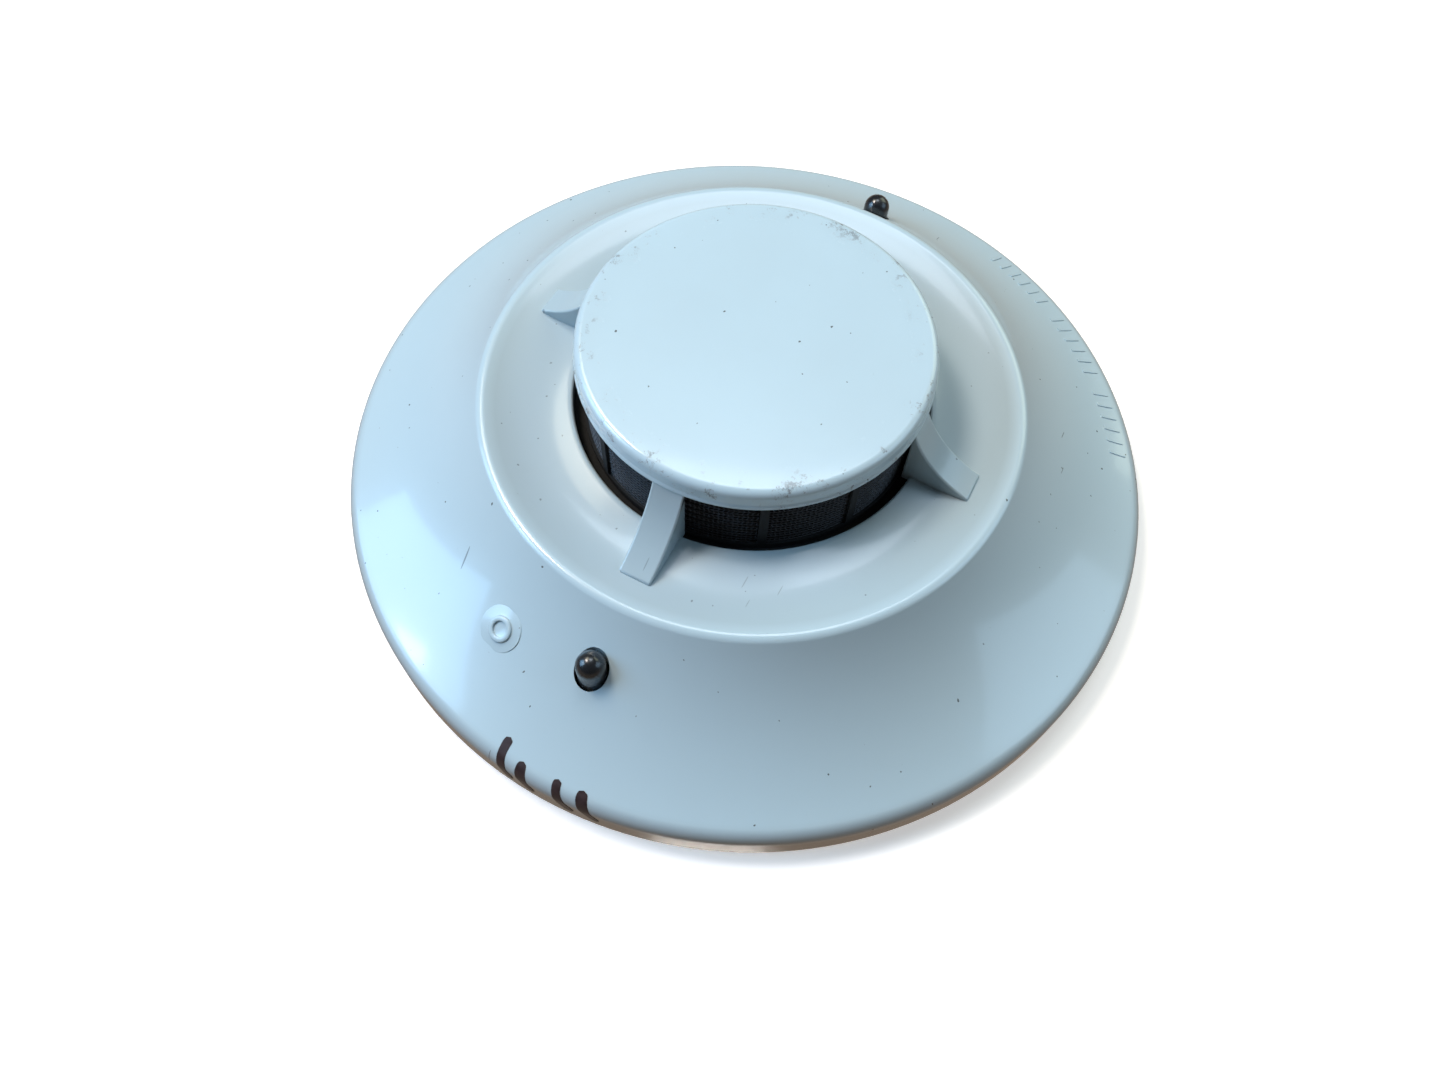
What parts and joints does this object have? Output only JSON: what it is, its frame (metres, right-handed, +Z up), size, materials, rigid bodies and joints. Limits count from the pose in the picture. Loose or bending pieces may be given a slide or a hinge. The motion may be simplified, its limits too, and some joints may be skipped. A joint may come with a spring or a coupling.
{
  "type": "smoke detector head",
  "caption": "Round plug-in smoke detector head with a low conical cover, dished top, raised round cap on ribs over a black insect screen, and domed status indicators.",
  "frame": {"origin": "centre of the plane that the spigot ring's end rests on", "axes": "+Z up along the round body's axis towards the cap; the two status indicators lie on -Y (front) and +Y (rear)"},
  "size_m": [0.104, 0.104, 0.0283],
  "materials": {
    "white_plastic": "gloss moulded, faint specks",
    "white_housing": "fine satin moulded",
    "black_plastic": "satin moulded",
    "chamber_black": "deep matt, anti-reflective",
    "black_wire": "blackened fine mesh",
    "smoked_lens": "smoked clear, polished",
    "clear_lens": "clear polished",
    "reed_glass": "clear green-tinted tube",
    "tinned_wire": "tinned",
    "board_green": "solder-resist green",
    "chip_black": "moulded epoxy",
    "capacitor_can": "drawn can with dark sleeve",
    "ceramic_tan": "fired ceramic",
    "bright_can": "bright drawn can",
    "screw_steel": "zinc plated",
    "contact_brass": "pressed brass",
    "switch_black": "moulded",
    "dial_white": "moulded",
    "blank_paper": "blank label film"
  },
  "bodies": {
    "head": {"chamber_cover": "chamber_black", "chamber_base": "chamber_black", "infrared_emitter": "smoked_lens", "emitter_leads": "tinned_wire", "emitter_clip": "chamber_black", "photodiode": "chip_black", "photodiode_lens": "clear_lens", "photodiode_shield": "tinned_wire", "circuit_board": "board_green", "status_led_front": "smoked_lens", "status_led_rear": "smoked_lens", "led_spacers": "black_plastic", "led_leads": "tinned_wire", "microcontroller": "chip_black", "electrolytic_capacitor": "capacitor_can", "bridge_rectifier": "chip_black", "chip_resistors": "chip_black", "chip_capacitors": "ceramic_tan", "transistors": "chip_black", "surge_diodes": "chip_black", "crystal": "bright_can", "reed_switch": "reed_glass", "reed_leads": "tinned_wire", "board_screws": "screw_steel", "back_housing": "white_housing", "terminal_blades": "contact_brass", "terminal_rivets": "tinned_wire", "tens_switch_body": "switch_black", "units_switch_body": "switch_black", "back_label": "blank_paper"},
    "cover": {"cover": "white_plastic", "insect_screen": "black_plastic", "screen_mesh": "black_wire"},
    "tens_dial": {"tens_dial": "dial_white"},
    "units_dial": {"units_dial": "dial_white"}
  },
  "joints": [
    {"name": "cover_lift", "type": "slide", "parent": "head", "child": "cover", "axis": [0, 0, 1], "range_m": [0, 0.03]},
    {"name": "tens_dial_turn", "type": "hinge", "parent": "head", "child": "tens_dial", "pos_m": [-0.011, 0, 0.0024], "axis": [0, 0, 1], "continuous": true},
    {"name": "units_dial_turn", "type": "hinge", "parent": "head", "child": "units_dial", "pos_m": [0.011, 0, 0.0024], "axis": [0, 0, 1], "continuous": true}
  ]
}
